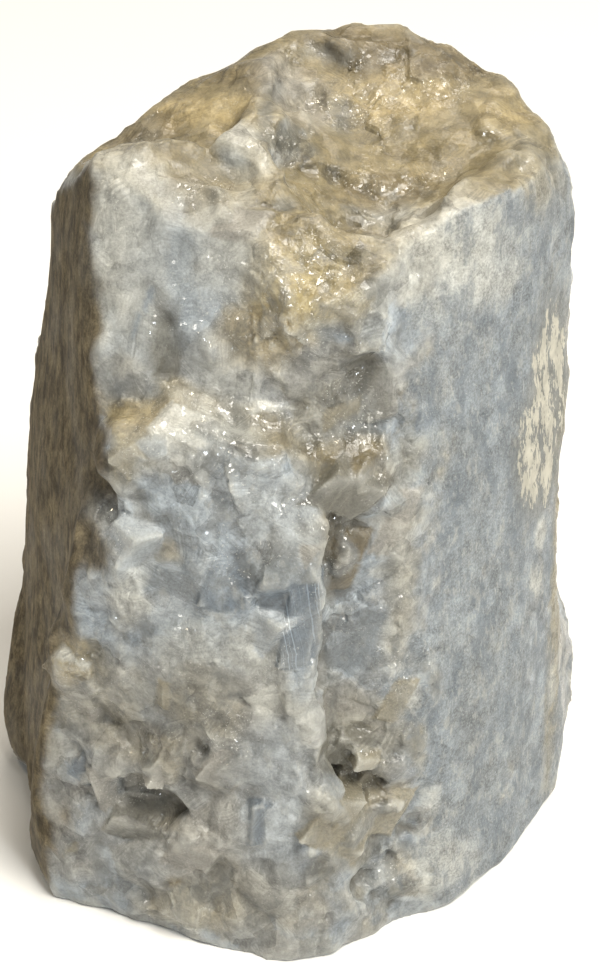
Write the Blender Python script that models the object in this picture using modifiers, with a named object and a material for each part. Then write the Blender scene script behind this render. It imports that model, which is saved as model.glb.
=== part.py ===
"""Rough blue calcite: one standing block of coarse, broken crystal.

The block is bounded by a flat joint face on its left, a frosted joint face on
its right and a rough back. Its top is dished and its front is broken into
masses, ledges and recesses. It rests on a flat spot under its base. Forms are
given in millimetres: +X is to the right of the front, +Y is towards the back
and +Z is up.
"""

from math import cos, pi, radians, sin

import bmesh
import bpy
import numpy as np
from mathutils import Euler, Matrix, Vector, noise
from mathutils.bvhtree import BVHTree
from mathutils.kdtree import KDTree

MM = 0.001
SEED = 47

# Sizes that drive the whole stone
FINE_VOXEL = 1.3
TRIANGLES = 10600
CLEAVAGE_ANGLE = radians(75.0)
CUT_TOLERANCE = 0.001 * MM

# Grains of crystal in the broken faces, and the flat faces that they break in
GRAIN_SPACING = 10.5
FACET_LEAN = 0.16
FACET_RISE = 0.5
FACET_REACH = 1.7
LEAST_SLOPE = 0.4

# Small crystals: the places tried, their edges and rise, and the turns they share
SMALL_CRYSTALS = 420
SMALL_CRYSTAL_SIZE = (5.0, 12.0)
SMALL_CRYSTAL_RISE = (0.5, 2.2)
CRYSTAL_TURNS = 24
LOWEST_CRYSTAL = 4.0
CRYSTAL_PROUD = 3.2
FRACTURED = 0.5

# Wear that rounds the edges: rounds of softening before and after the crystals
WEAR_OF_THE_MASSES = 5
WEAR_OF_THE_CRYSTALS = 1
SOFTENING = 0.5

# Slow swell of every face
SWELL_WAVELENGTH = 34.0
SWELL_HEIGHT = 1.5

# The sides of the stone: where each one faces, and how broken it is
SIDES = {
    "left joint": ((-0.93, -0.36, 0.05), 0.1),
    "right joint": ((0.72, -0.69, 0.05), 0.1),
    "right end": ((1, 0.25, 0), 0.35),
    "front": ((0.05, -1, 0.1), 1.0),
    "front left": ((-0.45, -0.9, 0.1), 1.0),
    "top": ((0, -0.15, 1), 1.0),
    "top slope": ((0, -0.7, 0.7), 1.0),
    "back": ((-0.1, 1, 0.1), 0.9),
    "back left": ((-0.75, 0.65, 0.1), 0.6),
    "underside": ((0, 0, -1), 1.0),
}
FRONT_LEFT_EDGE = -33
FRONT_RIGHT_EDGE = 21
FRONT_BACK = 0

# The calcite's finish
CALCITE_COLOUR = (0.42, 0.44, 0.45, 1.0)
CALCITE_ROUGHNESS = 0.42

# The body of the stone, from its resting spot to the rim of its top
RESTING_SPOT = [
    (-36, -28, -2), (-14, -36, -2), (16, -34, -2), (32, -20, -2), (40, 6, -2),
    (28, 26, -2), (-14, 30, -2), (-42, 12, -2), (-44, -14, -2),
]
BASE_RING = [
    (-50, -34, 0), (-34, -39, -1), (0, -43, -1), (17, -45, -1), (31, -39, -1),
    (45, -24, -1), (56, -4, 0), (58, 12, 3), (49, 34, 4), (10, 42, 3),
    (-38, 38, 4), (-58, 20, 4), (-58, -8, 3),
]
FLANKS = [
    (59, 14, 18), (56, 27, 30), (-60, 24, 25), (49, 8, 75), (48, 24, 76),
    (46, 38, 60), (-57, 22, 72), (-46, 38, 60), (6, 45, 62),
    (-41, -30, 92), (-38, -30, 113), (19, -39, 100), (2, -40, 104),
]
RIM = [
    (-38, -15, 156), (-25, -12, 158), (-47, 8, 139), (-43, 0, 146), (-48, 14, 130),
    (-33, 10, 148), (-28, 16, 150), (-22, 25, 153), (-13, 31, 156), (-7, 8, 158),
    (-2, 33, 160), (8, 36, 162), (20, 35, 161), (28, 34, 157), (34, 32, 153),
    (43, 25, 152), (48, 10, 149), (51, 6, 139), (52, 8, 130), (43, -7, 149),
    (33, -19, 150), (18, -29, 149), (9, -34, 147), (-3, -33, 147), (-14, -30, 149),
]
BODY = RESTING_SPOT + BASE_RING + FLANKS + RIM

# Masses that stand out of the body
FRONT_LEFT_MASS = [
    (-57, -21, 1), (-51, -36, 0), (-37, -42, -1), (-9, -53, -2), (0, -56, -1),
    (10, -53, -1), (16, -46, -1), (-38, -24, -2), (0, -44, -2),
    (-54, -32, 30), (-47, -36, 62), (6, -54, 30), (5, -50, 76), (4, -46, 96),
    (-22, -47, 60), (-35, -36, 110), (-27, -41, 116), (-14, -43, 117), (-2, -45, 112),
    (-38, -20, 106),
]
UPPER_FRONT_MASS = [
    (-2, -36, 127), (14, -38, 122), (-8, -38, 134), (16, -38, 127), (-6, -34, 145),
    (2, -40, 142), (14, -36, 144), (21, -31, 143), (4, -20, 128),
]
LEFT_FOOT = [
    (-64, 8, 11), (-65, 13, 12), (-62, 4, 3), (-62, 14, 3), (-58, 26, 20),
    (-61, 16, 36), (-57, 18, 48), (-50, -4, 20), (-50, 20, 4), (-60, 0, 12),
]
BACK_MASS = [
    (-30, 38, 10), (24, 42, 5), (-10, 47, 30), (18, 48, 52), (-22, 44, 84),
    (14, 44, 100), (30, 38, 40), (0, 30, 60),
]
MASSES = [FRONT_LEFT_MASS, UPPER_FRONT_MASS, LEFT_FOOT, BACK_MASS]

# Broken hollows, cut out of the body and its masses
TOP_DISH = [
    (12, -22, 141), (2, -22, 145), (24, -14, 146), (4, 2, 147), (-1, 14, 151), (12, 22, 155),
    (28, 14, 150), (38, 2, 149), (-5, -6, 153), (-4, 26, 158), (30, 24, 156), (20, -29, 151),
    (5, -29, 149), (-10, 10, 180), (45, 5, 180), (10, 40, 180), (10, -40, 180),
]
LEFT_SLOPE = [
    (-41, 2, 147), (-12, -6, 152), (-8, 12, 158), (-22, 26, 156), (-36, 12, 149),
    (-19, -8, 151), (-34, -4, 151), (-40, 2, 170), (-10, -8, 170), (-8, 28, 170), (-36, 26, 170),
]
MIDDLE_RECESS = [
    (-1, -37, 124), (15, -35, 125), (18, -38, 110), (-4, -41, 108), (6, -33, 118),
    (12, -33, 114), (8, -38, 100), (-2, -60, 128), (18, -60, 126), (20, -60, 106), (-4, -60, 104),
    (8, -60, 98),
]
TROUGH = [
    (7, -42, 100), (20, -40, 92), (24, -41, 40), (26, -42, -8), (9, -44, 60), (11, -46, 30),
    (18, -47, -8), (7, -70, 100), (24, -70, 92), (34, -70, 40), (34, -70, -8), (9, -70, 60),
    (12, -70, 20), (21, -70, -8),
]
FRONT_LEFT_SCOOP = [
    (-30, -27, 146), (-24, -29, 126), (-22, -32, 120), (-18, -33, 128), (-22, -29, 142),
    (-30, -60, 150), (-24, -60, 114), (-16, -60, 124), (-20, -60, 148),
]
RIGHT_WAIST = [
    (53.5, -12, 112), (53.5, 45, 112), (51.5, -12, 78), (51.5, 45, 78), (52.5, -12, 56),
    (52.5, 45, 56), (55.5, -12, 36), (55.5, 45, 36), (75, -12, 112), (75, 45, 112),
    (75, -12, 36), (75, 45, 36),
]
HOLLOWS = [TOP_DISH, LEFT_SLOPE, MIDDLE_RECESS, TROUGH, FRONT_LEFT_SCOOP, RIGHT_WAIST]

# Single crystals and pockets: centre, edge lengths and turn in degrees
CRYSTALS = {
    "left edge": ((-34, -37, 88), (14, 9, 19), (0, -12, -35)),
    "left edge nub": ((-32, -35, 109), (10, 9, 9), (20, 10, 30)),
    "ledge left": ((-27, -37, 111), (12, 10, 9), (40, -15, 10)),
    "ledge middle": ((-17, -38, 111), (15, 10, 9), (25, 20, -20)),
    "ledge right": ((-8, -41, 108), (12, 9, 13), (10, -30, 25)),
    "ledge point": ((-20, -32, 114), (11, 8, 11), (15, 45, 10)),
    "recess lump": ((12, -35, 105), (13, 9, 12), (-20, 15, 5)),
    "recess back": ((6, -31, 117), (10, 8, 8), (30, 35, 60)),
    "brown plate": ((10, -37, 93), (8, 7, 11), (0, 0, 12)),
    "grey plate": ((11, -36, 68), (11, 9, 19), (0, 0, 8)),
    "trough upper": ((11, -38, 51), (10, 8, 11), (10, 25, 20)),
    "trough side": ((19, -38, 47), (9, 8, 13), (0, -20, 15)),
    "trough lower": ((10, -42, 27), (12, 10, 15), (0, 12, -15)),
    "trough foot": ((18, -40, 17), (10, 8, 9), (20, 0, 30)),
    "pale lump": ((-5, -46, 61), (8, 7, 7), (35, 25, 10)),
    "blade": ((-25, -42, 44), (6, 6, 13), (5, 18, 40)),
    "short blade": ((-32, -40, 42), (7, 6, 12), (0, -25, 10)),
    "golden edge": ((-44, -34, 62), (9, 8, 12), (15, -20, -30)),
    "crest": ((-7, 2, 153), (8, 16, 9), (0, 20, -8)),
    "bowl left": ((-1, 4, 149), (9, 8, 7), (30, 20, 15)),
    "bowl right": ((30, 6, 146), (10, 9, 7), (25, -35, 50)),
}
POCKETS = {
    "lower left": ((-30, -44, 32), (15, 13, 9), (10, 20, -10)),
    "lower left hole": ((-25, -48, 15), (5, 8, 5), (20, 30, 0)),
    "step gap": ((5.5, -43, 95), (3.5, 9, 19), (0, 4, 10)),
    "stairs": ((13, -43, 35), (8, 7, 7), (10, 25, 15)),
    "stairs side": ((7, -44, 41), (5, 9, 13), (0, 0, 5)),
    "foot left": ((5, -54, 20), (8, 8, 6), (10, -30, 0)),
    "foot middle": ((11, -46, 14), (8, 8, 5), (0, 15, 20)),
    "foot right": ((20, -43, 6), (10, 7, 4), (0, -8, 30)),
    "wedge": ((12, -38, 126), (8, 9, 6), (0, 30, 10)),
    "under nub": ((-36, -37, 99), (9, 8, 8), (0, 15, -20)),
    "behind shoulder": ((-15, -14, 155), (15, 7, 8), (10, 25, -25)),
    "golden": ((-25, -45, 92), (7, 7, 9), (15, 30, 20)),
    "scoop": ((-24, -32, 128), (6, 6, 13), (0, 12, 10)),
    "bowl pit left": ((-2, -8, 153), (8, 7, 6), (20, 15, 40)),
    "bowl pit back": ((9, 12, 152), (9, 7, 5), (10, -20, 25)),
    "bowl pit front": ((13, -14, 144), (10, 7, 5), (25, 10, 0)),
    "lip pit": ((-3, -24, 151), (5, 5, 5), (30, 30, 0)),
    "crest side": ((-4, 10, 156), (5, 9, 7), (0, 25, 5)),
}


def clear_scene():
    for thing in list(bpy.data.objects):
        bpy.data.objects.remove(thing, do_unlink=True)


def collection(name):
    made = bpy.data.collections.new(name)
    bpy.context.scene.collection.children.link(made)
    return made


def as_object(name, mesh_builder, home):
    mesh = bpy.data.meshes.new(name)
    mesh_builder.to_mesh(mesh)
    mesh_builder.free()
    made = bpy.data.objects.new(name, mesh)
    home.objects.link(made)
    return made


def hull(name, corners, home):
    """One mass with flat faces: the convex hull of its corners."""
    builder = bmesh.new()
    for corner in corners:
        builder.verts.new(Vector(corner) * MM)
    wrapped = bmesh.ops.convex_hull(builder, input=list(builder.verts))
    inside = [part for part in wrapped["geom_interior"] if isinstance(part, bmesh.types.BMVert)]
    bmesh.ops.delete(builder, geom=inside, context="VERTS")
    bmesh.ops.recalc_face_normals(builder, faces=list(builder.faces))
    return as_object(name, builder, home)


def cleavage_frame():
    """The three directions of a calcite rhomb's edges, as the columns of a matrix."""
    lean = cos(CLEAVAGE_ANGLE)
    second = Vector((lean, sin(CLEAVAGE_ANGLE), 0))
    across = (lean - lean * lean) / sin(CLEAVAGE_ANGLE)
    third = Vector((lean, across, (1 - lean * lean - across * across) ** 0.5))
    return Matrix((Vector((1, 0, 0)), second, third)).transposed()


def rhomb(name, centre, edges, turn, home):
    """A cleavage rhomb: a cube whose edges lean as calcite's do."""
    builder = bmesh.new()
    bmesh.ops.create_cube(builder, size=1.0)
    shape = cleavage_frame() @ Matrix.Diagonal(Vector(edges) * MM)
    place = Matrix.Translation(Vector(centre) * MM)
    bmesh.ops.transform(builder, matrix=place @ turn.to_4x4() @ shape.to_4x4(), verts=list(builder.verts))
    return as_object(name, builder, home)


def settle(thing):
    """Gives the object the mesh that its modifiers make, and takes them off."""
    graph = bpy.context.evaluated_depsgraph_get()
    made = bpy.data.meshes.new_from_object(thing.evaluated_get(graph))
    thing.modifiers.clear()
    thing.data = made


def combine(stone, tool, operation):
    step = stone.modifiers.new(operation.lower(), "BOOLEAN")
    step.operation = operation
    step.object = tool
    step.solver = "EXACT"
    settle(stone)
    tool.hide_render = True
    tool.display_type = "WIRE"


def degrees(turn):
    return Euler([radians(angle) for angle in turn]).to_matrix()


def remesh(stone, size):
    step = stone.modifiers.new("remesh", "REMESH")
    step.mode = "VOXEL"
    step.voxel_size = size * MM
    settle(stone)


def soften(stone, rounds):
    step = stone.modifiers.new("soften", "SMOOTH")
    step.factor = SOFTENING
    step.iterations = rounds
    settle(stone)


def points_and_normals(mesh):
    points = np.empty(len(mesh.vertices) * 3, np.float32)
    mesh.vertices.foreach_get("co", points)
    normals = np.empty(len(mesh.vertices) * 3, np.float32)
    mesh.vertices.foreach_get("normal", normals)
    return points.reshape(-1, 3).astype(float) / MM, normals.reshape(-1, 3).astype(float)


def give_points(mesh, points):
    mesh.vertices.foreach_set("co", (points * MM).astype(np.float32).ravel())
    mesh.update()


def facing_of(normals):
    """The side of the stone that each point faces, as its place in SIDES."""
    directions = np.array([direction for direction, _ in SIDES.values()], float)
    directions /= np.linalg.norm(directions, axis=1)[:, None]
    return (normals @ directions.T).argmax(1)


def brokenness(points, normals):
    """How broken the stone is there: near 0 on its joint faces, 1 where it is fractured."""
    shares = np.array([share for _, share in SIDES.values()])
    share = shares[facing_of(normals)]
    between_edges = (points[:, 0] > FRONT_LEFT_EDGE) & (points[:, 0] < FRONT_RIGHT_EDGE)
    return np.where(between_edges & (points[:, 1] < FRONT_BACK), 1.0, share)


def swell(stone):
    points, normals = points_and_normals(stone.data)
    rise = np.array([noise.noise(Vector(point / SWELL_WAVELENGTH)) for point in points])
    give_points(stone.data, points + normals * (rise * SWELL_HEIGHT)[:, None])


def grain_centres(draw, low, high):
    """One crystal grain's centre in each cell of a jittered grid around the stone."""
    axes = [np.arange(start, stop, GRAIN_SPACING) for start, stop in zip(low, high)]
    cells = np.stack(np.meshgrid(*axes, indexing="ij"), axis=-1).reshape(-1, 3)
    return cells + draw.uniform(0, GRAIN_SPACING, cells.shape)


def random_turns(draw, count):
    turns = draw.uniform(0, 2 * pi, (count, 3))
    return [Euler(turn).to_matrix() for turn in turns]


def nearest_grain(points, centres):
    tree = KDTree(len(centres))
    for index, centre in enumerate(centres):
        tree.insert(centre, index)
    tree.balance()
    return np.array([tree.find(point)[1] for point in points])


def grain_means(grain, count, values):
    """The mean of the values over each grain's own stretch of the surface."""
    sizes = np.maximum(np.bincount(grain, minlength=count), 1)
    sums = [np.bincount(grain, weights=column, minlength=count) for column in values.T]
    return np.stack(sums, axis=1) / sizes[:, None]


def cleave(stone, draw):
    """Breaks the fractured faces into one flat cleavage face for each grain."""
    points, normals = points_and_normals(stone.data)
    centres = grain_centres(draw, points.min(0) - GRAIN_SPACING, points.max(0) + GRAIN_SPACING)
    count = len(centres) * len(SIDES)
    grain = nearest_grain(points, centres) * len(SIDES) + facing_of(normals)
    middles = grain_means(grain, count, points)
    lean = draw.normal(0, FACET_LEAN, (count, 3))
    facets = grain_means(grain, count, normals) + lean
    facets /= np.linalg.norm(facets, axis=1)[:, None]
    rises = draw.uniform(-FACET_RISE, FACET_RISE, count)
    gap = np.einsum("ga,ga->g", middles[grain] - points, facets[grain])
    slope = np.maximum(np.einsum("ga,ga->g", normals, facets[grain]), LEAST_SLOPE)
    shift = np.clip(gap / slope + rises[grain], -FACET_REACH, FACET_REACH)
    shift *= brokenness(points, normals)
    give_points(stone.data, points + normals * shift[:, None])


def half_reach(edges, turn, direction):
    """How far a rhomb reaches from its centre in a direction."""
    corners = turn @ cleavage_frame()
    return sum(abs(corners.col[i].dot(direction)) * edges[i] for i in range(3)) / 2


def proudest_corner(crystal, surface):
    """How far the crystal's proudest corner stands off the stone's surface."""
    heights = []
    for vertex in crystal.data.vertices:
        nearest, normal, _, distance = surface.find_nearest(vertex.co)
        outside = (vertex.co - nearest).dot(normal) > 0
        heights.append(distance / MM if outside else 0.0)
    return max(heights)


def small_crystals(stone, draw, home):
    """Crystals that stand a little out of the fractured faces, in clusters of one turn."""
    mesh = stone.data
    mesh.calc_loop_triangles()
    corners = np.array([[mesh.vertices[i].co[:] for i in t.vertices] for t in mesh.loop_triangles]) / MM
    cross = np.cross(corners[:, 1] - corners[:, 0], corners[:, 2] - corners[:, 0])
    area = np.linalg.norm(cross, axis=1)
    chosen = draw.choice(len(area), SMALL_CRYSTALS, p=area / area.sum())
    mix = draw.dirichlet((1, 1, 1), len(chosen))
    spots = np.einsum("sc,scx->sx", mix, corners[chosen])
    facing = cross[chosen] / area[chosen][:, None]
    turns = random_turns(draw, CRYSTAL_TURNS)
    surface = BVHTree.FromObject(stone, bpy.context.evaluated_depsgraph_get())
    made = []
    for spot, normal in zip(spots, facing):
        edges = draw.uniform(*SMALL_CRYSTAL_SIZE, 3)
        rise = draw.uniform(*SMALL_CRYSTAL_RISE)
        turn = turns[int(draw.integers(len(turns)))]
        if brokenness(spot[None], normal[None])[0] < FRACTURED or spot[2] < LOWEST_CRYSTAL:
            continue
        depth = half_reach(edges, turn, Vector(normal)) - rise
        crystal = rhomb("small crystal", spot - normal * depth, edges, turn, home)
        if proudest_corner(crystal, surface) > CRYSTAL_PROUD:
            bpy.data.objects.remove(crystal, do_unlink=True)
            continue
        made.append(crystal)
    return made


def join(things):
    """Joins meshes in one object, whose parts may overlap until they are remeshed."""
    builder = bmesh.new()
    for thing in things:
        builder.from_mesh(thing.data)
    first = things[0]
    builder.to_mesh(first.data)
    builder.free()
    for thing in things[1:]:
        bpy.data.objects.remove(thing, do_unlink=True)
    return first


def thin(stone):
    mesh = stone.data
    mesh.calc_loop_triangles()
    step = stone.modifiers.new("thin", "DECIMATE")
    step.ratio = TRIANGLES / len(mesh.loop_triangles)
    settle(stone)


def flatten_base(stone):
    """Cuts the resting spot flat at the base and closes it."""
    builder = bmesh.new()
    builder.from_mesh(stone.data)
    parts = list(builder.verts) + list(builder.edges) + list(builder.faces)
    bmesh.ops.bisect_plane(
        builder, geom=parts, dist=CUT_TOLERANCE, plane_co=(0, 0, 0), plane_no=(0, 0, 1), clear_inner=True
    )
    rim = [edge for edge in builder.edges if edge.is_boundary]
    bmesh.ops.triangle_fill(builder, edges=rim, use_beauty=True, normal=(0, 0, -1))
    bmesh.ops.triangulate(builder, faces=list(builder.faces))
    bmesh.ops.recalc_face_normals(builder, faces=list(builder.faces))
    builder.to_mesh(stone.data)
    builder.free()


def centre_on_origin(stone):
    points, _ = points_and_normals(stone.data)
    middle = (points.min(0) + points.max(0)) / 2
    give_points(stone.data, points - [middle[0], middle[1], 0])


def calcite_finish():
    finish = bpy.data.materials.new("calcite")
    finish.use_nodes = True
    shader = finish.node_tree.nodes["Principled BSDF"]
    shader.inputs["Base Color"].default_value = CALCITE_COLOUR
    shader.inputs["Roughness"].default_value = CALCITE_ROUGHNESS
    shader.inputs["Metallic"].default_value = 0.0
    return finish


def main():
    clear_scene()
    home = collection("rough blue calcite")
    tools = collection("cutters")
    draw = np.random.default_rng(SEED)
    stone = hull("calcite", BODY, home)
    for corners in MASSES:
        combine(stone, hull("mass", corners, tools), "UNION")
    for corners in HOLLOWS:
        combine(stone, hull("hollow", corners, tools), "DIFFERENCE")
    for name, (centre, edges, turn) in CRYSTALS.items():
        combine(stone, rhomb(name, centre, edges, degrees(turn), tools), "UNION")
    for name, (centre, edges, turn) in POCKETS.items():
        combine(stone, rhomb(name, centre, edges, degrees(turn), tools), "DIFFERENCE")
    remesh(stone, FINE_VOXEL)
    soften(stone, WEAR_OF_THE_MASSES)
    swell(stone)
    stone = join([stone] + small_crystals(stone, draw, home))
    remesh(stone, FINE_VOXEL)
    soften(stone, WEAR_OF_THE_CRYSTALS)
    cleave(stone, draw)
    remesh(stone, FINE_VOXEL)
    thin(stone)
    flatten_base(stone)
    centre_on_origin(stone)
    stone.data.materials.clear()
    stone.data.materials.append(calcite_finish())


if __name__ == "__main__":
    main()
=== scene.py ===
"""Rough blue calcite, finished for a studio picture.

The block keeps the form of its solid. Its fractured faces are broken again into
grains that lie along the cleavage of larger crystals, and its joint faces are
frosted and streaked. The finish follows the stone's places: cream and golden
stain, smoky and blue crystals, a chalky crust and dark pockets. Painted shade
darkens the left face, the pockets, gaps and hollows and the lower part, painted
highlight brightens a few raised places, and white flecks are painted glints.
"""

from functools import reduce
from math import cos, pi, radians, sin
from types import SimpleNamespace

import bmesh
import bpy
import numpy as np
from bpy.props import FloatProperty, FloatVectorProperty, IntProperty, PointerProperty
from mathutils import Euler, Matrix, Vector, noise
from mathutils.bvhtree import BVHTree


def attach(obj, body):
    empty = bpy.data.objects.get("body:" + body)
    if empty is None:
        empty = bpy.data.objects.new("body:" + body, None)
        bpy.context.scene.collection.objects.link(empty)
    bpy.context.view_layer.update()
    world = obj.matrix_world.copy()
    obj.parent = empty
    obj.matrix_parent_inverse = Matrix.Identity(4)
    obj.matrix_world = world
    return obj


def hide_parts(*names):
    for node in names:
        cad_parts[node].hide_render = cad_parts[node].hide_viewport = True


bl_info = {
    "name": "Rough Blue Calcite",
    "version": (1, 0, 0),
    "blender": (4, 5, 0),
    "location": "3D View > Sidebar > Calcite",
    "description": "Makes a rough block of blue calcite and the stage that it stands on",
    "category": "Add Mesh",
}

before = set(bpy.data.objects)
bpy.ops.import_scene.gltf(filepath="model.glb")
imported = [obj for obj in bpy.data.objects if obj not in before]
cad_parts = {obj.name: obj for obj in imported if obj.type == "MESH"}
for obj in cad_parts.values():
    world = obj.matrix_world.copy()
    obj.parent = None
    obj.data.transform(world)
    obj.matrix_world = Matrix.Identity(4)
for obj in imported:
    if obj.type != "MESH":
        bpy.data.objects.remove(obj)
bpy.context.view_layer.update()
MM = 0.001
NODE = "calcite"
BODY = "root"

# Corners of the solid that are closer than this are one
MERGE = 0.001 * MM

# The picture's frame, and the view that it was taken from
PICTURE_WIDTH = 600
PICTURE_HEIGHT = 964
PIXEL = 0.2 * MM
VIEW_ELEVATION = radians(33.0)
VIEW_DISTANCE = 0.5
VIEW_TARGET = Vector((2.9, 3.8, 78.0)) * MM
SENSOR = 36.0
CLIP_START = 0.01

# The stage. Each lamp has its place, size, power and colour, and faces one target
FLOOR_RADIUS = 4.0
SKY = (1.0, 0.985, 0.95, 1.0)
SKY_STRENGTH = 0.2
LAMP_TARGET = Vector((0, 0, 0.08))
LAMPS = {
    "key lamp": ((0.45, -0.5, 1.25), 0.6, 24.0, (1.0, 0.96, 0.88)),
    "top lamp": ((0.1, 0.5, 1.1), 0.5, 5.0, (1.0, 0.9, 0.76)),
    "warm spark": ((-0.35, -0.2, 1.2), 0.1, 1.6, (1.0, 0.85, 0.6)),
    "cool spark": ((0.5, -0.9, 0.7), 0.1, 1.6, (0.85, 0.93, 1.0)),
}

# The joint faces, and the stretch of the front between them that is fractured
LEFT_JOINT = Vector((-0.93, -0.36, 0.05)).normalized()
RIGHT_JOINT = Vector((0.72, -0.69, 0.05)).normalized()
FRONT_LEFT_EDGE = -30.0 * MM
FRONT_RIGHT_EDGE = 24.0 * MM
FRONT_BACK = 3.8 * MM

# The angle between the edges of a cleavage rhomb
RHOMB_ANGLE = radians(75.0)

# Sizes of the relief that aren't a user's: the drift of the grains, the ragged border of the
# joint faces and how far it wanders, and the frost and streaks on them
WARP_SIZE = 6.0 * MM
WARP_REACH = 1.6 * MM
BORDER_SIZE = 8.0 * MM
BORDER_REACH = 45.0 * MM
FROST_SIZE = 1.6 * MM
STREAK_SIZE = 1.1 * MM

# The relief comes in between these heights, so that the foot stays flat
FOOT_FADE = (0.3 * MM, 3.0 * MM)

# The second way that the fine steps climb, set across the cleavage plane
STEP_SKEW = (0.3, 0.5, 0.8)

# How far a seed moves the pattern, in metres, and three shares: of the grain's size that a slant
# may rise, of the relief that the top loses, and of the lumps that show all over
SEED_STRIDE = 0.137
SLANT_LIMIT = 0.3
TOP_CALM = 0.45
LUMPY_EVERYWHERE = 0.25

# How many times the mesh is averaged with its neighbours, to find its wide and its near facing,
# the soft border of the joint faces, and the hollows
FACING_ROUNDS = 40
NEAR_ROUNDS = 4
BORDER_ROUNDS = 50
HOLLOW_ROUNDS = 140

# The relief's inputs, and the sizes of the stone that they take
RELIEF_SIZES = {
    "Crystal Size": "crystal", "Crystal Rise": "crystal_rise", "Grain Size": "grain", "Grain Rise": "rise",
    "Chip Size": "chip", "Chip Depth": "chip_depth", "Cleavage": "cleavage", "Step Width": "step",
    "Step Depth": "step_depth", "Frost": "frost", "Lump Size": "lump", "Lump Depth": "lump_depth",
}

# Sizes of the painted patterns: three soft fields, the veils of the right joint face, and how much
# of each grain's own place the paint follows
FIELD_SIZES = (22 * MM, 9 * MM, 4 * MM)
LARGE_VEIL = 7 * MM
SMALL_VEIL = 3 * MM
GRAIN_SHARE = 0.2

# Below this height the breaks get painted shade, a little darker where less light falls from above, and it
# comes in over the height after it
LOW_TOP = 95 * MM
LOW_FADE = 60 * MM

# How deep a place of the picture reaches into the stone: a share of its size, and mm more
DEPTH_SHARE = 1.4
DEPTH_MORE = 5

# Outside its faces a single crystal is whole to the first distance and gone at the second
CRYSTAL_SKIN = (0.35 * MM, 0.7 * MM)

# Sizes of the finish's patterns, the shift of the milky patches, and the way across the striae
VEIL = 3.2 * MM
GRIT = 0.5 * MM
GLINT_SPECK = 0.34 * MM
CLOUD = 5.0 * MM
PATCH = 3.2 * MM
PATCH_SHIFT = (0.31, 0.17, 0.05)
RAIN = 2.2 * MM
DASH = 0.8 * MM
FLAKE = 3.4 * MM
SPARK = 0.6 * MM
LINE = 0.5 * MM
STRIAE = 0.36 * MM
STRIAE_ACROSS = (1.0, 0.25, 0.12)

# How the stone takes the light, and the fine grit in its skin
STONE_GLOSS = {
    "Subsurface Weight": 0.5, "Subsurface Radius": (1.0, 0.95, 0.85), "Subsurface Scale": 3.0 * MM,
    "IOR": 1.6, "Specular IOR Level": 0.32, "Coat Roughness": 0.06, "Coat IOR": 1.66,
}
GRIT_BUMP = {"Strength": 0.3, "Distance": 0.3 * MM}

# The Mix node's first and second input and its result, for each kind of value
MIX_SOCKETS = {"FLOAT": (2, 3, 0), "VECTOR": (4, 5, 1), "RGBA": (6, 7, 2)}

# How the nodes are laid out
NODES_IN_A_ROW = 12
NODE_WIDTH = 190
NODE_HEIGHT = 260

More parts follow.
